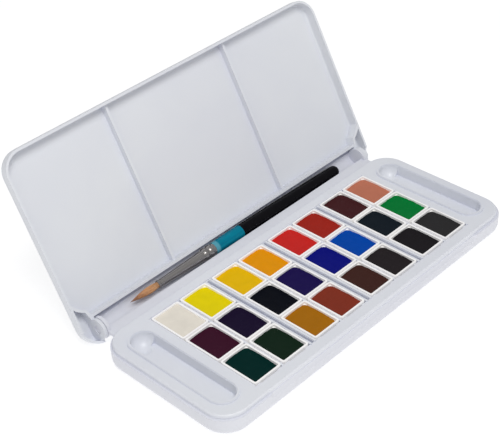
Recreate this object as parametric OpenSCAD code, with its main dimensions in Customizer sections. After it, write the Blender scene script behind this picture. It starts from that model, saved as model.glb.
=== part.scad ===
// Watercolour pan set: white folding box with a removable pan tray, 24 half
// pans, a brush lying in the gutter behind the tray, and a hinged mixing lid.
// The box is drawn open. Origin: centre of the underside of the base,
// +X along the hinge, +Y from the front edge to the hinge, +Z up.

/* [Box] */
// Overall length along the hinge
box_l = 178; // [177.6:0.2:180]
// Front edge of the base, in front of the middle pan row
front_y = 35.9; // [35.7:0.1:36.5]
// Rear wall of the base, behind the middle pan row
rear_y = 35.2; // [34.9:0.1:35.4]
// Height from the underside to the top of the deck
deck_z = 10.6; // [10.6:0.1:11.4]
// Height of the step from the deck down to the rim of the base
rim_drop = 2; // [1.8:0.1:2.4]
// Plan radius of the base's corners
corner_r = 11.6; // [11:0.1:12]
// Radius of the lower edge of the base
base_edge_r = 4.5; // [4:0.1:4.7]
// Wall of the base
wall = 1.5; // [1.4:0.1:1.6]
// Floor of the base
floor_t = 1.3; // [1.1:0.1:1.4]

/* [Pans] */
// Pan columns are set in pairs: pitch inside a pair
pan_pitch = 15.7; // [15.6:0.05:15.8]
// Distance from one pair to the next
pair_pitch = 34; // [33.9:0.05:34.1]
// Pitch of the three rows
row_pitch = 19.55; // [19.5:0.05:19.6]
// Width of a half pan
pan_w = 14.5; // [14.2:0.1:14.6]
// Length of a half pan
pan_d = 18.9; // [18.6:0.1:18.9]
// Height of a half pan
pan_h = 7.5; // [7.2:0.1:7.6]
// Wall of a half pan
pan_wall = 0.8; // [0.7:0.1:1]
// Depth of the paint below the rim of the pan
paint_drop = 1.5; // [1:0.1:1.8]

/* [Hinge] */
// Hinge axis, behind the middle pan row
axis_y = 43.4; // [43.3:0.1:43.5]
// Hinge axis, above the underside
axis_z = 7.8; // [7.7:0.1:7.9]
// Radius of the hinge pins
pin_r = 1.8; // [1.6:0.1:2]
// Running clearance of the pins, radial
pin_gap = 0.1; // [0.08:0.01:0.12]
// Outside of the gutter's end walls, from the middle
barrel_x = 80.7; // [80.6:0.1:80.8]
// Angle the lid is opened to
lid_open = 117.5; // [0:0.5:117.5]

/* [Lid] */
// Height of the lid, rim to outside
lid_h = 6.2; // [6:0.1:6.6]
// Depth of the mixing wells
well_depth = 5.1; // [4.9:0.1:5.1]
// Wall of the lid
lid_wall = 1.05; // [0.95:0.05:1.05]
// Radius of the lid's outer edge
lid_edge_r = 3; // [2.6:0.1:3.2]
// Plan radius of the lid's corners
lid_corner_r = 9.2; // [8.8:0.1:10]
// Height of the two dividing ribs
rib_h = 2.9; // [2.4:0.1:2.9]

/* [Brush] */
// Radius of the thickest part of the handle
handle_r = 3.25; // [3:0.05:3.25]
// Tip of the hair
hair_tip = -63.4; // [-64:0.1:-62.8]
// Blunt end of the handle
handle_end = 66.6; // [65:0.1:67.5]

/* [Hidden] */
rim_z = deck_z - rim_drop;
half_l = box_l / 2;
lid_rim_z = rim_z + 0.1;
lid_rear = axis_y + 6.5;
tray_in = 1.15;
block_x = 67.9;
block_y = 30.3;
pocket_z = deck_z + 0.4 - pan_h;
col_x = [for (p = [-1.5:1:1.5]) for (s = [-0.5, 0.5]) p * pair_pitch + s * pan_pitch];
row_y = [row_pitch, 0, -row_pitch];
chan_w = pan_w + 0.25;
rim_step = 1.2;
chan_l = 2 * row_pitch + pan_d + 0.4;
well_x = 77;
well_y = [-22.4, 21.2];
gutter_y = 44.6;
gutter_z = rim_z;
gutter_r = 3.9;
brush_y = 44.75;
brush_z = deck_z - 2.17;
brush_tilt = 0.73;
fer_a = -48.2;
fer_b = -15.4;

// ---- shapes -------------------------------------------------------------

// rounded rectangle from (x0, y0) to (x1, y1)
module rrect(x0, y0, x1, y1, r) {
  translate([x0 + r, y0]) square([x1 - x0 - 2 * r, y1 - y0]);
  translate([x0, y0 + r]) square([x1 - x0, y1 - y0 - 2 * r]);
  for (x = [x0 + r, x1 - r]) for (y = [y0 + r, y1 - r]) translate([x, y]) circle(r, $fn = 96);
}

// one round corner of a slab, with its lower edge rounded
module puck(r, e, h) {
  rotate_extrude($fn = 96) {
    square([r - e, h]);
    translate([0, e]) square([r, h - e]);
    intersection() {
      translate([r - e, e]) circle(e, $fn = 64);
      square([r + 1, h]);
    }
  }
}

// slab with round plan corners (r) and a rounded lower edge (e), bottom at z = 0
module slab(x0, y0, x1, y1, h, r, e) {
  translate([0, 0, e]) linear_extrude(h - e) rrect(x0, y0, x1, y1, r);
  translate([x0 + r, y0 + e, 0]) cube([x1 - x0 - 2 * r, y1 - y0 - 2 * e, h]);
  translate([x0 + e, y0 + r, 0]) cube([x1 - x0 - 2 * e, y1 - y0 - 2 * r, h]);
  for (x = [x0 + r, x1 - r]) for (y = [y0 + r, y1 - r]) translate([x, y, 0]) puck(r, e, h);
  intersection() {
    union() {
      for (y = [y0 + e, y1 - e]) translate([x0 + r, y, e]) rotate([0, 90, 0]) cylinder(r = e, h = x1 - x0 - 2 * r, $fn = 64);
      for (x = [x0 + e, x1 - e]) translate([x, y0 + r, e]) rotate([-90, 0, 0]) cylinder(r = e, h = y1 - y0 - 2 * r, $fn = 64);
    }
    translate([x0, y0, 0]) cube([x1 - x0, y1 - y0, h]);
  }
}

// the same slab turned over: rounded upper edge, top at z = h
module lid_slab(x0, y0, x1, y1, h, r, e) {
  translate([0, 0, h]) mirror([0, 0, 1]) slab(x0, y0, x1, y1, h, r, e);
}

module bar_x(r, x0, x1, y, z, fn = 96) {
  translate([x0, y, z]) rotate([0, 90, 0]) cylinder(r = r, h = x1 - x0, $fn = fn);
}

// ---- base ---------------------------------------------------------------

module base_shell() {
  color("whitesmoke") {
    difference() {
      slab(-half_l, -front_y, half_l, rear_y, rim_z, corner_r, base_edge_r);
      // inside of the tub
      translate([0, 0, floor_t])
        slab(-half_l + wall, -front_y + wall, half_l - wall, rear_y - wall, rim_z - 1.4 - floor_t, corner_r - wall, base_edge_r - wall);
      // opening inside the ledge that carries the tray
      translate([0, 0, rim_z - 2.5]) linear_extrude(4) rrect(-half_l + 3.4, -front_y + 3.6, half_l - 3.4, rear_y - 3.4, corner_r - 3);
      // thumb recess along the front edge
      bar_x(4, -62.3, 62.3, -front_y - 3, rim_z + 0.7);
      for (x = [-62.3, 62.3]) translate([x, -front_y - 3, rim_z + 0.7]) sphere(4, $fn = 96);
    }
    // ribs that carry the bottom of the tray
    for (x = [-1, 0, 1]) translate([x * pair_pitch - 0.8, -26, floor_t - 0.3]) cube([1.6, 52, pocket_z - 1.2 - floor_t + 0.3]);
    gutter();
    for (s = [-1, 1]) bar_x(pin_r, min(s * (barrel_x - 0.7), s * (barrel_x + 1.25)), max(s * (barrel_x - 0.7), s * (barrel_x + 1.25)), axis_y, axis_z);
  }
}

// half-round brush gutter on the hinge line, with its two end walls
module gutter() {
  inner_x = barrel_x - 1.5;
  difference() {
    union() {
      bar_x(gutter_r + 1, -barrel_x, barrel_x, gutter_y, gutter_z);
      translate([-barrel_x, rear_y - 1.2, rim_z - 1.4]) cube([2 * barrel_x, gutter_y - rear_y + 1.2, 1.4]);
      // lip behind the gutter
      translate([-barrel_x, gutter_y, rim_z - 1.2]) cube([2 * barrel_x, 6.9, 1.2]);
    }
    bar_x(gutter_r, -66.8, inner_x, gutter_y, gutter_z);
    bar_x(gutter_r - 0.45, -inner_x, -66, gutter_y - 0.4, gutter_z + 0.1);
    translate([-barrel_x - 1, rear_y + 2, rim_z]) cube([2 * barrel_x + 2, 20, 10]);
  }
  for (s = [-1, 1]) bar_x(4.8, min(s * inner_x, s * barrel_x), max(s * inner_x, s * barrel_x), axis_y, axis_z);
  // webs between the rear wall and the gutter
  for (x = [-66, -33, 0, 33, 66]) translate([x + 0.6, 0, 0]) rotate([0, -90, 0])
    linear_extrude(1.2) polygon([[rim_z - 1, rear_y - 0.6], [4.6, rear_y - 0.6], [5.6, gutter_y - 4.3], [rim_z - 1, gutter_y - 4.5]]);
}

// ---- pan tray -----------------------------------------------------------

module stadium(r) {
  for (y = well_y) translate([0, y]) circle(r, $fn = 96);
  translate([-r, well_y[0]]) square([2 * r, well_y[1] - well_y[0]]);
}

// raised bead round a side well, stepped to a narrow top
module bead() {
  translate([0, 0, -0.3]) linear_extrude(0.68) stadium(6.65);
  for (q = [[5.55, 6.5, 0.62], [5.75, 6.28, 0.8]]) translate([0, 0, -0.2]) linear_extrude(0.2 + q[2]) difference() {
    stadium(q[1]);
    stadium(q[0]);
  }
}

module pan_tray() {
  ty0 = -front_y + tray_in;
  ty1 = rear_y - 0.9;
  tx = half_l - tray_in;
  color("white") difference() {
    union() {
      // deck with a rounded edge
      translate([0, 0, rim_z]) lid_slab(-tx, ty0, tx, ty1, rim_drop, corner_r - tray_in, 0.6);
      // box that holds the pans
      translate([-block_x, -block_y, pocket_z - 1.2]) cube([2 * block_x, 2 * block_y, deck_z - pocket_z - 0.3]);
      // underside of the side wells
      for (s = [-1, 1]) translate([s * well_x, 0, deck_z]) {
        translate([0, 0, -5.6]) linear_extrude(5.1) stadium(6.5);
        translate([0, well_y[1], 0]) intersection() {
          sphere(6.5, $fn = 96);
          translate([-10, -10, -6.3]) cube([20, 20, 5.3]);
        }
        bead();
      }
    }
    // sunk field round the pans, leaving the guide ridges beside each pair
    difference() {
      translate([-block_x + 1.15, -29.9, deck_z - 0.4]) cube([2 * block_x - 2.3, 59.6, 3]);
      for (p = [-1.5:1:1.5]) for (s = [-1, 1]) translate([p * pair_pitch + s * (pan_pitch / 2 + chan_w / 2 + 0.5), 0, 0]) {
        translate([-0.5, -29.1, deck_z - 2]) cube([1, 58.2, 2]);
        for (y = [-29.1, 29.1]) translate([0, y, deck_z - 2]) cylinder(r = 0.5, h = 2, $fn = 32);
      }
    }
    // channels for the pans
    for (x = col_x) translate([x - chan_w / 2, -chan_l / 2, pocket_z]) cube([chan_w, chan_l, 20]);
    // grooves between the pairs
    for (p = [-1, 0, 1]) translate([p * pair_pitch - 0.65, -29.2, deck_z - 2.4]) cube([1.3, 58.4, 6]);
    // clip slots beside each pan
    for (y = row_y) for (d = [-4.6, 4.6]) {
      for (p = [-1.5:1:1.5]) {
        translate([p * pair_pitch - 0.8, y + d - 1.5, deck_z - 1.2]) cube([1.6, 3, 4]);
        translate([p * pair_pitch + pan_pitch / 2 + chan_w / 2 - 0.1, y + d - 1.5, deck_z - 1]) cube([0.5, 3, 4]);
      }
    }
    // relief in front of the first row
    for (x = col_x) translate([x - 4.6, -chan_l / 2 - 0.35, pocket_z + 3]) cube([9.2, 2, 20]);
    // small notch under the tray's right front corner, to lift it out
    translate([half_l - corner_r, corner_r - front_y, rim_z]) rotate([0, 0, -28]) translate([corner_r - tray_in - 0.9, -1.9, -0.1]) cube([2, 3.8, 1]);
    // side wells: flat-floored channel with a deeper round bowl at the rear
    for (s = [-1, 1]) translate([s * well_x, 0, deck_z]) {
      translate([0, 0, -4.4]) linear_extrude(7.4) {
        translate([0, well_y[0]]) circle(5.35, $fn = 96);
        translate([-5.35, well_y[0]]) square([10.7, well_y[1] - well_y[0]]);
      }
      translate([0, well_y[1], 0]) sphere(5.35, $fn = 96);
      linear_extrude(3) stadium(5.35);
    }
  }
}

// ---- pans and paint -----------------------------------------------------

module cavity(r) {
  rrect(-pan_w / 2 + pan_wall, -pan_d / 2 + pan_wall, pan_w / 2 - pan_wall, pan_d / 2 - pan_wall, r);
}

module pan(i, j) {
  r = 1.1;
  color("ghostwhite") translate([col_x[i], row_y[j], pocket_z]) difference() {
    linear_extrude(pan_h) rrect(-pan_w / 2, -pan_d / 2, pan_w / 2, pan_d / 2, r);
    translate([0, 0, pan_wall]) linear_extrude(pan_h) cavity(1.6);
    translate([0, 0, pan_h - rim_step]) linear_extrude(2) cavity(0.5);
  }
}

// cast cake of colour; rise lifts its top towards the rim
module paint(i, j, c, rise = 0) {
  top = pan_h - pan_wall - paint_drop + rise;
  step = pan_h - pan_wall - rim_step;
  color(c) translate([col_x[i], row_y[j], pocket_z + pan_wall]) {
    linear_extrude(min(top, step)) cavity(1.6);
    if (top > step) translate([0, 0, step]) linear_extrude(top - step) cavity(0.5);
  }
}

// ---- lid ----------------------------------------------------------------

// plan of the mixing area: full width in front, stepping in at the hinge
module mixing_plan() {
  x = half_l + 5;
  polygon([[-x, -front_y - 5], [x, -front_y - 5], [x, 21.6], [87.9, 29.4], [86.1, 31.7], [84.7, 32.8], [82.7, 34.1], [81.6, axis_y - 6.4],
    [-81.6, axis_y - 6.4], [-82.7, 34.1], [-84.7, 32.8], [-86.1, 31.7], [-87.9, 29.4], [-x, 21.6]]);
}

// plan of the hollow in one rear arm
module arm_plan() {
  polygon([[82.3, 39.3], [83.6, 34.9], [85.4, 33.8], [87, 32.5], [88.9, 30.1], [95, 22.5], [95, 60], [82.3, 60]]);
}

// lid outline inset by d, with edge radius e, and er along the hinge side
module lid_form(d, h, e, er) {
  intersection() {
    lid_slab(-half_l + d, -front_y + d, half_l - d, lid_rear - d, h, lid_corner_r - d, e);
    lid_slab(-half_l - 20, -front_y - 20, half_l + 20, lid_rear - d, h, lid_corner_r, er);
  }
}

module lid_closed() {
  difference() {
    union() {
      difference() {
        translate([0, 0, lid_rim_z]) lid_form(0, lid_h, lid_edge_r, 4.2);
        intersection() {
          translate([0, 0, lid_rim_z - 2]) lid_form(lid_wall, well_depth + 2, 1, 3);
          translate([0, 0, lid_rim_z - 3]) linear_extrude(20) {
            mixing_plan();
            arm_plan();
            mirror([1, 0]) arm_plan();
          }
        }
        // gap for the gutter
        translate([-barrel_x - 0.15, axis_y - 5.3, 0]) cube([2 * barrel_x + 0.3, 30, 40]);
      }
      // dividing ribs
      for (s = [-1, 1]) translate([s * pair_pitch - 0.6, -front_y + 1.05, lid_rim_z + well_depth - rib_h]) cube([1.2, front_y + axis_y - 7, rib_h + 0.3]);
      // hinge ears
      for (s = [-1, 1]) bar_x(4.6, min(s * (barrel_x + 0.15), s * 82.3), max(s * (barrel_x + 0.15), s * 82.3), axis_y, axis_z);
    }
    bar_x(pin_r + pin_gap, -95, 95, axis_y, axis_z);
  }
}

module lid() {
  color("white") translate([0, axis_y, axis_z]) rotate([-lid_open, 0, 0]) translate([0, -axis_y, -axis_z]) lid_closed();
}

// ---- brush --------------------------------------------------------------

// body of revolution along +X through the brush's axis: points are [x, radius]
module turned(p) {
  translate([0, brush_y, brush_z]) rotate([0, 90 + brush_tilt, 0]) rotate_extrude($fn = 96) polygon([for (q = p) [q[1], q[0]]]);
}

module brush_handle() {
  nose = 3;
  color("black") turned(concat(
    [[fer_b - 11, 0], [fer_b - 11, 2], [fer_b, 2], [fer_b, 2.8], [-10, handle_r - 0.28], [-4, handle_r - 0.13], [2, handle_r - 0.06], [9, handle_r - 0.02], [18, handle_r], [30, handle_r - 0.02], [42, handle_r - 0.1], [54, handle_r - 0.25], [handle_end - nose, handle_r - 0.42]],
    [for (a = [15:15:75]) [handle_end - nose + nose * sin(a), (handle_r - 0.42) * cos(a)]],
    [[handle_end, 0]]));
}

module brush_ferrule() {
  k = (2.72 - 1.6) / (fer_b - fer_a);
  color("silver") turned([[fer_a, 1.25], [fer_a, 1.55], [fer_a + 0.3, 1.85], [fer_a + 0.9, 1.85], [fer_a + 1.2, 1.62],
    [-21.8, 1.6 + k * (-21.8 - fer_a)], [-21.2, 2.85], [-20.2, 2.85], [-19.6, 1.6 + k * (-19.6 - fer_a)],
    [-18.8, 1.6 + k * (-18.8 - fer_a)], [-18.2, 2.95], [-17.2, 2.95], [-16.6, 1.6 + k * (-16.6 - fer_a)],
    [fer_b, 2.72], [fer_b, 2], [fer_b - 11, 2], [fer_b - 11, 1.25]]);
}

module brush_bristles() {
  color("peru") turned([[hair_tip, 0], [hair_tip + 1, 0.22], [hair_tip + 3, 0.62], [hair_tip + 5.5, 1.08], [hair_tip + 8, 1.42], [hair_tip + 10.5, 1.6], [hair_tip + 13, 1.5], [fer_a, 1.25], [fer_a + 8, 1.25], [fer_a + 8, 0]]);
}

// ---- assembly -----------------------------------------------------------

base_shell();
pan_tray();
lid();
brush_handle();
brush_ferrule();
brush_bristles();
pan(0, 0);  // pan_a1
pan(1, 0);  // pan_a2
pan(2, 0);  // pan_a3
pan(3, 0);  // pan_a4
pan(4, 0);  // pan_a5
pan(5, 0);  // pan_a6
pan(6, 0);  // pan_a7
pan(7, 0);  // pan_a8
pan(0, 1);  // pan_b1
pan(1, 1);  // pan_b2
pan(2, 1);  // pan_b3
pan(3, 1);  // pan_b4
pan(4, 1);  // pan_b5
pan(5, 1);  // pan_b6
pan(6, 1);  // pan_b7
pan(7, 1);  // pan_b8
pan(0, 2);  // pan_c1
pan(1, 2);  // pan_c2
pan(2, 2);  // pan_c3
pan(3, 2);  // pan_c4
pan(4, 2);  // pan_c5
pan(5, 2);  // pan_c6
pan(6, 2);  // pan_c7
pan(7, 2);  // pan_c8
paint(0, 0, "#d8d1c6", 0.8);  // paint_a1
paint(1, 0, "#d8c71e");  // paint_a2
paint(2, 0, "#d5ae1a");  // paint_a3
paint(3, 0, "#d08d19");  // paint_a4
paint(4, 0, "#b3312f");  // paint_a5
paint(5, 0, "#8d2b23");  // paint_a6
paint(6, 0, "#3f2325");  // paint_a7
paint(7, 0, "#a96b58");  // paint_a8
paint(0, 1, "#3a1c2a");  // paint_b1
paint(1, 1, "#221b2f");  // paint_b2
paint(2, 1, "#17181d");  // paint_b3
paint(3, 1, "#221a47");  // paint_b4
paint(4, 1, "#1e1e6c");  // paint_b5
paint(5, 1, "#0d4694");  // paint_b6
paint(6, 1, "#1e2227");  // paint_b7
paint(7, 1, "#096a34");  // paint_b8
paint(0, 2, "#0f2b28");  // paint_c1
paint(1, 2, "#202c24");  // paint_c2
paint(2, 2, "#96631f");  // paint_c3
paint(3, 2, "#76352a");  // paint_c4
paint(4, 2, "#402a27");  // paint_c5
paint(5, 2, "#2c282a");  // paint_c6
paint(6, 2, "#292829");  // paint_c7
paint(7, 2, "#2e2d2e");  // paint_c8
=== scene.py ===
"""Watercolour pan set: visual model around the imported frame."""
import bpy, bmesh, math, random
from mathutils import Matrix, Vector, noise


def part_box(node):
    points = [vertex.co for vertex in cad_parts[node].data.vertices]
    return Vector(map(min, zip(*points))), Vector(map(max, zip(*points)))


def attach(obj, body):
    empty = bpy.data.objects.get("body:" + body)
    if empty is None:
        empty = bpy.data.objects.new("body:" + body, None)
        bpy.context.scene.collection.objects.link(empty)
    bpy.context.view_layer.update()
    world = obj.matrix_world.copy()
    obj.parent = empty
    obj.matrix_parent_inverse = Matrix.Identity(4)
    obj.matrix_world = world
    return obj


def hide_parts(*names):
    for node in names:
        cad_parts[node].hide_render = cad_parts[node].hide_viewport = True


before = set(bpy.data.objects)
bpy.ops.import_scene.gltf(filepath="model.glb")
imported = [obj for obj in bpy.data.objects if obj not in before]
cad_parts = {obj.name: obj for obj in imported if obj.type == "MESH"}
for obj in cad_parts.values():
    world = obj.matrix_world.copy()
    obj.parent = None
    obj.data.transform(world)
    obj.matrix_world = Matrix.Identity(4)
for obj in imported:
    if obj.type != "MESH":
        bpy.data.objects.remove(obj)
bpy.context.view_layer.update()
scene = bpy.context.scene
MM = 0.001


# ---------------------------------------------------------------- camera
def look(az, el, roll):
    a, e, r = math.radians(az), math.radians(el), math.radians(roll)
    back = Vector((math.sin(a) * math.cos(e), -math.cos(a) * math.cos(e), math.sin(e)))
    fwd = -back
    right = fwd.cross(Vector((0, 0, 1))).normalized()
    up = right.cross(fwd)
    return right * math.cos(r) + up * math.sin(r), -right * math.sin(r) + up * math.cos(r), back


CAM = dict(az=-43.98, el=35.83, roll=-3.75, px=250.0, py=217.5, f=1252.56, d=521.6, cx=314.4, cy=267.98, target=(0, 0, 11.6))


def make_camera():
    c = CAM
    right, up, back = look(c["az"], c["el"], c["roll"])
    d = c["d"]
    tx, ty = (c["cx"] - c["px"]) / c["f"] * d, (c["cy"] - c["py"]) / c["f"] * d
    pos = Vector(c["target"]) - right * tx + up * ty + back * d
    cam = bpy.data.cameras.new("camera")
    cam.sensor_width = 36.0
    cam.sensor_fit = "HORIZONTAL"
    cam.lens = c["f"] / 500.0 * 36.0
    cam.shift_x = -(c["px"] - 250.0) / 500.0
    cam.shift_y = (c["py"] - 217.5) / 500.0
    cam.clip_start, cam.clip_end = 0.01, 20.0
    cam.dof.use_dof = False
    ob = bpy.data.objects.new("camera", cam)
    scene.collection.objects.link(ob)
    m = Matrix((
        (right.x, up.x, back.x, pos.x * MM),
        (right.y, up.y, back.y, pos.y * MM),
        (right.z, up.z, back.z, pos.z * MM),
        (0, 0, 0, 1)))
    ob.matrix_world = m
    scene.camera = ob
    return ob


make_camera()


# ---------------------------------------------------------------- materials
def srgb(r, g, b):
    def f(v):
        v /= 255.0
        return v / 12.92 if v <= 0.04045 else ((v + 0.055) / 1.055) ** 2.4
    return (f(r), f(g), f(b), 1.0)


class Mat:
    """A small helper that writes a node material."""

    def __init__(self, name):
        self.m = bpy.data.materials.new(name)
        self.m.use_nodes = True
        self.t = self.m.node_tree
        self.t.nodes.clear()
        self.out = self.t.nodes.new("ShaderNodeOutputMaterial")
        self.b = self.t.nodes.new("ShaderNodeBsdfPrincipled")
        self.t.links.new(self.b.outputs[0], self.out.inputs[0])
        self.coord = self.t.nodes.new("ShaderNodeTexCoord")

    def set(self, **k):
        for n, v in k.items():
            self.b.inputs[n.replace("_", " ")].default_value = v
        return self

    def noise(self, scale, detail=2.0, rough=0.5, distort=0.0, vec=None):
        n = self.t.nodes.new("ShaderNodeTexNoise")
        n.inputs["Scale"].default_value = scale
        n.inputs["Detail"].default_value = detail
        n.inputs["Roughness"].default_value = rough
        n.inputs["Distortion"].default_value = distort
        self.t.links.new(vec or self.coord.outputs["Object"], n.inputs["Vector"])
        return n.outputs["Fac"]

    def mapping(self, scale):
        n = self.t.nodes.new("ShaderNodeMapping")
        n.inputs["Scale"].default_value = scale
        self.t.links.new(self.coord.outputs["Object"], n.inputs["Vector"])
        return n.outputs[0]

    def ramp(self, fac, stops, interp="LINEAR"):
        n = self.t.nodes.new("ShaderNodeValToRGB")
        n.color_ramp.interpolation = interp
        while len(n.color_ramp.elements) < len(stops):
            n.color_ramp.elements.new(0.5)
        for e, (p, c) in zip(n.color_ramp.elements, stops):
            e.position = p
            e.color = c if len(c) == 4 else (*c, 1.0)
        self.t.links.new(fac, n.inputs[0])
        return n.outputs[0]

    def math(self, op, a, b=None, clamp=False):
        n = self.t.nodes.new("ShaderNodeMath")
        n.operation = op
        n.use_clamp = clamp
        for i, v in enumerate((a, b)):
            if v is None:
                continue
            if isinstance(v, (int, float)):
                n.inputs[i].default_value = v
            else:
                self.t.links.new(v, n.inputs[i])
        return n.outputs[0]

    def mix(self, fac, a, b, mode="MIX"):
        n = self.t.nodes.new("ShaderNodeMix")
        n.data_type = "RGBA"
        n.blend_type = mode
        for i, v in ((0, fac), (6, a), (7, b)):
            if isinstance(v, (int, float)):
                n.inputs[i].default_value = v
            elif isinstance(v, tuple):
                n.inputs[i].default_value = v
            else:
                self.t.links.new(v, n.inputs[i])
        return n.outputs[2]

    def xyz(self):
        n = self.t.nodes.new("ShaderNodeSeparateXYZ")
        self.t.links.new(self.coord.outputs["Object"], n.inputs[0])
        return n.outputs

    def crease_shade_mask(self, reach):
        """Mask for painted shade: 0 deep in a corner, 1 on open surfaces."""
        n = self.t.nodes.new("ShaderNodeAmbientOcclusion")
        n.samples = 6
        n.inputs["Distance"].default_value = reach
        return self.math("MULTIPLY", self.math("SUBTRACT", n.outputs["AO"], 0.25), 1.0 / 0.7, True)

    def link(self, src, name):
        self.t.links.new(src, self.b.inputs[name])
        return self

    def bump(self, height, strength, dist=0.0001):
        n = self.t.nodes.new("ShaderNodeBump")
        n.inputs["Strength"].default_value = strength
        n.inputs["Distance"].default_value = dist
        self.t.links.new(height, n.inputs["Height"])
        self.t.links.new(n.outputs[0], self.b.inputs["Normal"])
        return self


def plastic(name, tone, rough=0.34, grain=0.10, crease_shade_tint=(0.94, 0.945, 0.99, 1.0)):
    """White injection-moulded plastic: faint flow marks, very fine grain, soft sheen, and painted shade that darkens
    corners and creases toward a cool tint.
    """
    m = Mat(name)
    r, g, b = tone
    base = srgb(r, g, b)
    dull = srgb(r - 5, g - 5, b - 3)
    flow = m.noise(16, 3, 0.55, 0.6)
    body = m.mix(m.ramp(flow, [(0.35, (0, 0, 0)), (0.7, (1, 1, 1))]), base, dull)
    # painted shade: an ambient-occlusion mask darkens corners and creases toward the tint colour
    body = m.mix(m.crease_shade_mask(0.0035), m.mix(1.0, body, crease_shade_tint, "MULTIPLY"), body)
    m.link(body, "Base Color")
    rr = m.noise(90, 3, 0.6)
    m.link(m.math("ADD", m.math("MULTIPLY", rr, 0.12), rough - 0.06), "Roughness")
    m.set(Specular_IOR_Level=0.45, IOR=1.49, Subsurface_Weight=0.0)
    m.set(Coat_Weight=0.06, Coat_Roughness=0.2)
    grainy = m.math("ADD", m.noise(2600, 2, 0.5), m.math("MULTIPLY", m.noise(260, 2, 0.5), 1.5))
    m.bump(grainy, grain, 0.00004)
    return m.m


M_SHELL = plastic("shell_plastic", (226, 227, 233))
M_TRAY = plastic("tray_plastic", (230, 232, 237))
M_LID = plastic("lid_plastic", (228, 230, 234), rough=0.4)
# the pans get a fainter, grey painted shade in their corners
M_PAN = plastic("pan_plastic", (253, 251, 249), rough=0.3, crease_shade_tint=(0.98, 0.98, 0.98, 1.0))
# a very small glow, standing in for light let through by thin white plastic
M_PAN.node_tree.nodes["Principled BSDF"].inputs["Emission Color"].default_value = (1.0, 0.99, 0.98, 1.0)
M_PAN.node_tree.nodes["Principled BSDF"].inputs["Emission Strength"].default_value = 0.07

PAINTS = {
    "a1": (235, 228, 215), "a2": (233, 213, 0), "a3": (234, 187, 0), "a4": (232, 151, 0), "a5": (204, 37, 33), "a6": (162, 39, 28), "a7": (68, 30, 33), "a8": (192, 118, 93),
    "b1": (59, 18, 39), "b2": (26, 15, 44), "b3": (8, 11, 20), "b4": (28, 17, 77), "b5": (10, 16, 122), "b6": (0, 71, 169), "b7": (19, 28, 36), "b8": (0, 121, 52),
    "c1": (0, 40, 37), "c2": (18, 38, 25), "c3": (168, 107, 10), "c4": (132, 52, 36), "c5": (66, 38, 33), "c6": (39, 34, 36), "c7": (31, 28, 31), "c8": (46, 45, 46)}


def paint_material(key):
    """Cast watercolour cake: satin, slightly mottled, a touch deeper in random patches."""
    c = PAINTS[key]
    m = Mat("paint_" + key)
    lum = sum(c) / 3.0
    base = srgb(*c)
    deep = srgb(*[v * 0.97 for v in c])
    dusty = srgb(*[v + (235 - v) * 0.012 for v in c])
    seed = m.mapping((1, 1, 1))
    mott = m.noise(210, 3, 0.5, 0.4, seed)
    col = m.mix(m.ramp(mott, [(0.3, (0, 0, 0)), (0.7, (1, 1, 1))]), base, deep)
    dust = m.noise(1500, 3, 0.7, 0.0, seed)
    col = m.mix(m.ramp(dust, [(0.56, (0, 0, 0)), (0.74, (1, 1, 1))]), col, dusty)
    m.link(col, "Base Color")
    rr = m.noise(420, 3, 0.6, 0.3, seed)
    lo, hi = (0.36, 0.5) if lum < 70 else (0.4, 0.55)
    m.link(m.math("ADD", m.math("MULTIPLY", rr, hi - lo), lo), "Roughness")
    m.set(Specular_IOR_Level=0.05 if lum < 90 else 0.08)
    m.bump(m.math("ADD", m.noise(560, 4, 0.6, 0.2, seed), m.math("MULTIPLY", m.noise(2400, 2, 0.6), 0.25)), 0.09, 0.00010)
    return m.m


def nickel():
    """Nickel tube: fine drawn streaks on plain metal. Its light and dark bands are left to the shader and the lights."""
    m = Mat("nickel_plate")
    streak = m.noise(1, 2, 0.6, 0, m.mapping((40, 2600, 2600)))
    m.link(m.mix(streak, srgb(150, 146, 143), srgb(190, 186, 182)), "Base Color")
    m.set(Metallic=1.0)
    m.link(m.math("ADD", m.math("MULTIPLY", streak, 0.10), 0.20), "Roughness")
    return m.m


def lacquer():
    """Black lacquer with a teal band that starts at the ferrule; the band thins to pale at its very start."""
    m = Mat("handle_lacquer")
    x, y, z = m.xyz()
    wob = m.math("MULTIPLY", m.math("SUBTRACT", m.noise(420, 2, 0.5), 0.5), 0.0006)
    xx = m.math("ADD", x, wob)
    teal = m.ramp(m.noise(1, 3, 0.5, 0, m.mapping((60, 700, 700))), [(0.3, srgb(0, 128, 152)), (0.7, srgb(0, 108, 134))])
    black = m.ramp(m.noise(500, 2, 0.5), [(0.4, srgb(7, 6, 10)), (0.8, srgb(12, 11, 15))])
    pale = srgb(96, 168, 184)
    edge = m.math("MULTIPLY", m.math("SUBTRACT", xx, 0.0012), 9000, True)
    col = m.mix(edge, teal, black)
    ring = m.math("SUBTRACT", 1.0, m.math("MULTIPLY", m.math("SUBTRACT", xx, -0.0136), 1400, True))
    m.link(m.mix(m.math("MULTIPLY", ring, 0.8), col, pale), "Base Color")
    m.set(Roughness=0.22, Specular_IOR_Level=0.07, Coat_Weight=0.12, Coat_Roughness=0.03)
    m.bump(m.noise(150, 2, 0.5), 0.06, 0.0002)
    return m.m


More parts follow.
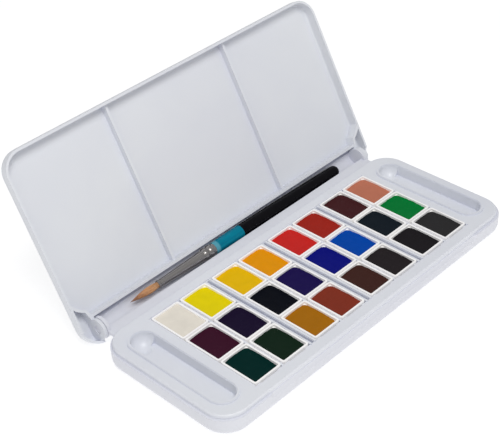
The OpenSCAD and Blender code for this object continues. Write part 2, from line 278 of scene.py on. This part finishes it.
def hair_material():
    m = Mat("sable_hair")
    x, y, z = m.xyz()
    along = m.math("MULTIPLY", m.math("ADD", x, 0.0634), 1.0 / 0.0152, True)
    streak = m.noise(1, 3, 0.7, 0, m.mapping((90, 4200, 4200)))
    body = m.ramp(along, [(0.0, srgb(150, 100, 72)), (0.2, srgb(190, 136, 96)), (0.55, srgb(222, 168, 120)), (0.85, srgb(234, 184, 134)), (1.0, srgb(212, 164, 120))])
    dark = m.ramp(along, [(0.0, srgb(124, 80, 58)), (0.3, srgb(168, 114, 76)), (0.7, srgb(204, 148, 100)), (1.0, srgb(176, 128, 88))])
    m.link(m.mix(m.ramp(streak, [(0.42, (0, 0, 0)), (0.62, (1, 1, 1))]), body, dark), "Base Color")
    m.set(Roughness=0.42, Specular_IOR_Level=0.4, Sheen_Weight=0.25, Sheen_Roughness=0.4)
    m.bump(streak, 0.5, 0.00015)
    return m.m


M_NICKEL, M_LACQUER, M_HAIR = nickel(), lacquer(), hair_material()


# ---------------------------------------------------------------- mesh helpers
def new_object(name, verts, faces, mat, smooth=True):
    me = bpy.data.meshes.new(name)
    me.from_pydata([tuple(v) for v in verts], [], faces)
    me.validate()
    me.update()
    ob = bpy.data.objects.new(name, me)
    scene.collection.objects.link(ob)
    me.materials.append(mat)
    if smooth:
        for p in me.polygons:
            p.use_smooth = True
    return ob


def repaint(node, mat):
    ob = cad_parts[node]
    for s in ob.material_slots:
        s.material = mat
    if not ob.material_slots:
        ob.data.materials.append(mat)
    return ob


for node, mat in (("base_shell", M_SHELL), ("pan_tray", M_TRAY), ("lid", M_LID)):
    repaint(node, mat)


# ---------------------------------------------------------------- paint cakes
def rounded_ring(x0, y0, x1, y1, r, n_side, n_corner):
    """Closed outline of a rounded rectangle with a fixed number of points."""
    pts = []
    corners = [(x1 - r, y0 + r, -90), (x1 - r, y1 - r, 0), (x0 + r, y1 - r, 90), (x0 + r, y0 + r, 180)]
    for k, (cx, cy, a0) in enumerate(corners):
        for i in range(n_corner + 1):
            a = math.radians(a0 + 90.0 * i / n_corner)
            pts.append((cx + r * math.cos(a), cy + r * math.sin(a)))
        nx, ny, na = corners[(k + 1) % 4]
        a = math.radians(na)
        ex, ey = nx + r * math.cos(a), ny + r * math.sin(a)
        sx, sy = pts[-1]
        for i in range(1, n_side + 1):
            f = i / (n_side + 1)
            pts.append((sx + (ex - sx) * f, sy + (ey - sy) * f))
    return pts


CAVITY_R = 1.59


def paint_cake(key, index):
    node = "paint_" + key
    lo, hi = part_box(node)
    g = 0.01
    x0, y0, x1, y1 = lo[0] / MM + g, lo[1] / MM + g, hi[0] / MM - g, hi[1] / MM - g
    z0, z1 = lo[2] / MM + 0.01, hi[2] / MM
    rnd = random.Random(100 + index)
    off = Vector((rnd.uniform(-50, 50), rnd.uniform(-50, 50), rnd.uniform(-50, 50)))
    insets = [0, 0.08, 0.18, 0.32, 0.5, 0.72, 1.0, 1.4, 1.9, 2.5, 3.2, 4.0, 4.8, 5.6, 6.2]
    ns, nc = 9, 8
    verts, faces = [], []
    # wall skirt, then the surface from the wall inwards
    cr = CAVITY_R if key != "a1" else 0.49
    ring0 = rounded_ring(x0, y0, x1, y1, cr, ns, nc)
    n = len(ring0)
    if key == "a1":
        z0 = z1 - 0.45
    verts += [(x * MM, y * MM, z0 * MM) for x, y in ring0]
    climb = rnd.uniform(0.36, 0.46) if key != "a1" else 0.1
    bow = rnd.uniform(0.55, 0.75) if key != "a1" else 0.1
    dish = rnd.uniform(0.05, 0.15)
    cx, cy = (x0 + x1) / 2, (y0 + y1) / 2
    for d in insets:
        ring = rounded_ring(x0 + d, y0 + d, x1 - d, y1 - d, max(cr - d * 0.6, 0.2), ns, nc)
        for x, y in ring:
            p = Vector((x * 0.35, y * 0.35, 0)) + off
            u, v = (x - cx) / (x1 - cx), (y - cy) / (y1 - cy)
            rise = climb + bow * (min(1.0, 2.0 - u * u - v * v) - 0.35)
            lip = rise * (0.85 + 0.3 * noise.noise(p * 2.2)) * math.exp(-d / 0.6)
            low = noise.noise(p) * 0.07 + noise.noise(p * 2.6) * 0.02
            bowl = -dish * math.exp(-((x - cx) ** 2 / 26.0 + (y - cy) ** 2 / 40.0))
            verts.append((x * MM, y * MM, (z1 + lip + low * min(1, d) + bowl) * MM))
    for k in range(len(insets)):
        a, b = k * n, (k + 1) * n
        for i in range(n):
            j = (i + 1) % n
            faces.append((a + i, a + j, b + j, b + i))
    faces.append(tuple(range(len(insets) * n, (len(insets) + 1) * n)))
    faces.append(tuple(reversed(range(n))))
    ob = new_object("cake_" + key, verts, faces, paint_material(key))
    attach(ob, "half_pan_" + key)
    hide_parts(node)
    return ob


for i, key in enumerate(PAINTS):
    paint_cake(key, i)
    repaint("pan_" + key, M_PAN)


# ---------------------------------------------------------------- brush
TILT = math.radians(0.73)
B_ORIGIN = Vector((0.0, 44.75, 8.43))
B_X = Vector((math.cos(TILT), 0.0, -math.sin(TILT)))
B_Y = Vector((0.0, 1.0, 0.0))
B_Z = Vector((math.sin(TILT), 0.0, math.cos(TILT)))
HAIR_TIP, FER_A, FER_B = -63.4, -48.2, -15.4
HAIR_PROFILE = [(HAIR_TIP, 0.05), (HAIR_TIP + 1, 0.22), (HAIR_TIP + 3, 0.62), (HAIR_TIP + 5.5, 1.08), (HAIR_TIP + 8, 1.42),
                (HAIR_TIP + 10.5, 1.6), (HAIR_TIP + 13, 1.5), (FER_A, 1.25), (FER_A + 2.5, 1.2)]


def on_brush(x, r, a):
    """Point at distance x along the brush axis, radius r, angle a, in metres."""
    p = B_ORIGIN + B_X * x + B_Y * (r * math.cos(a)) + B_Z * (r * math.sin(a))
    return (p.x * MM, p.y * MM, p.z * MM)


def lerp_profile(pts, x):
    for (xa, ra), (xb, rb) in zip(pts, pts[1:]):
        if x <= xb:
            f = max(0.0, min(1.0, (x - xa) / (xb - xa)))
            f2 = f * f * (3 - 2 * f) * 0.35 + f * 0.65
            return ra + (rb - ra) * f2
    return pts[-1][1]


def make_hair():
    """A sable point: a solid core wrapped in fine tapered strands that meet at the tip."""
    rnd = random.Random(71)
    verts, faces = [], []

    def tube(path, radii, sides):
        base = len(verts)
        for (x, r, a), w in zip(path, radii):
            c = Vector(on_brush(x, r, a))
            out = (Vector(on_brush(x, r + 1, a)) - c).normalized()
            side = B_X.cross(out).normalized()
            for k in range(sides):
                t = 2 * math.pi * k / sides
                verts.append(tuple(c + (out * math.cos(t) + side * math.sin(t)) * (w * MM)))
        for i in range(len(path) - 1):
            for k in range(sides):
                j = (k + 1) % sides
                faces.append((base + i * sides + k, base + i * sides + j, base + (i + 1) * sides + j, base + (i + 1) * sides + k))
        faces.append(tuple(base + k for k in reversed(range(sides))))
        faces.append(tuple(base + (len(path) - 1) * sides + k for k in range(sides)))

    seg = 40
    xs = [HAIR_TIP + 0.6 + (FER_A + 2.4 - HAIR_TIP - 0.6) * (i / 30.0) ** 1.15 for i in range(31)]
    base = len(verts)
    for x in xs:
        for k in range(seg):
            a = 2 * math.pi * k / seg
            verts.append(on_brush(x, max(0.02, lerp_profile(HAIR_PROFILE, x) - 0.13), a))
    for i in range(len(xs) - 1):
        for k in range(seg):
            j = (k + 1) % seg
            faces.append((base + i * seg + k, base + i * seg + j, base + (i + 1) * seg + j, base + (i + 1) * seg + k))
    faces.append(tuple(base + k for k in reversed(range(seg))))
    faces.append(tuple(base + (len(xs) - 1) * seg + k for k in range(seg)))

    for n in range(460):
        a0 = rnd.uniform(0, 2 * math.pi)
        twist = rnd.gauss(0, 0.16)
        depth = rnd.uniform(0.02, 0.15)
        end = HAIR_TIP + (abs(rnd.gauss(0, 0.9)) if n % 3 else rnd.uniform(0.0, 4.0))
        start = FER_A + 2.2
        steps = 16
        path, radii = [], []
        for i in range(steps + 1):
            f = i / steps
            x = start + (end - start) * f
            r = max(0.01, lerp_profile(HAIR_PROFILE, x) - depth - 0.02 + 0.03 * math.sin(6 * f + n))
            path.append((x, r, a0 + twist * math.sin(1.6 * f) + 0.02 * math.sin(9 * f + n)))
            radii.append(0.052 * (1 - 0.72 * f ** 2.2))
        tube(path, radii, 4)
    ob = new_object("hair", verts, faces, M_HAIR)
    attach(ob, "brush")
    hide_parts("brush_bristles")
    return ob


make_hair()
repaint("brush_handle", M_LACQUER)
repaint("brush_ferrule", M_NICKEL)

# ---------------------------------------------------------------- floor and light
def make_floor():
    s = 3.0
    ob = new_object("floor", [(-s, -s, -0.0001), (s, -s, -0.0001), (s, s, -0.0001), (-s, s, -0.0001)], [(0, 1, 2, 3)], None, False)
    m = Mat("floor_paper")
    m.link(m.ramp(m.noise(3, 2, 0.5), [(0.3, (0.38, 0.38, 0.38)), (0.7, (0.37, 0.37, 0.372))]), "Base Color")
    m.set(Roughness=0.9, Specular_IOR_Level=0.0, Emission_Color=(1, 1, 1, 1), Emission_Strength=0.76)
    ob.data.materials.clear()
    ob.data.materials.append(m.m)


make_floor()


def area(name, loc, target, size, power, color=(1, 1, 1), size_y=None):
    l = bpy.data.lights.new(name, "AREA")
    l.energy = power
    l.color = color
    l.size = size
    if size_y:
        l.shape = "RECTANGLE"
        l.size_y = size_y
    o = bpy.data.objects.new(name, l)
    scene.collection.objects.link(o)
    o.location = loc
    d = Vector(target) - Vector(loc)
    o.rotation_euler = d.to_track_quat("-Z", "Y").to_euler()
    return o


world = bpy.data.worlds.new("studio")
world.use_nodes = True
bg = world.node_tree.nodes["Background"]
bg.inputs[0].default_value = (0.955, 0.965, 1.0, 1)
bg.inputs[1].default_value = 0.42
scene.world = world

area("key", (-0.26, -0.40, 0.95), (0, 0.02, 0.02), 0.42, 5.65, (1.0, 0.998, 0.98))

scene.view_settings.view_transform = "Standard"
scene.view_settings.look = "None"
scene.view_settings.exposure = 0.0
scene.view_settings.gamma = 1.0
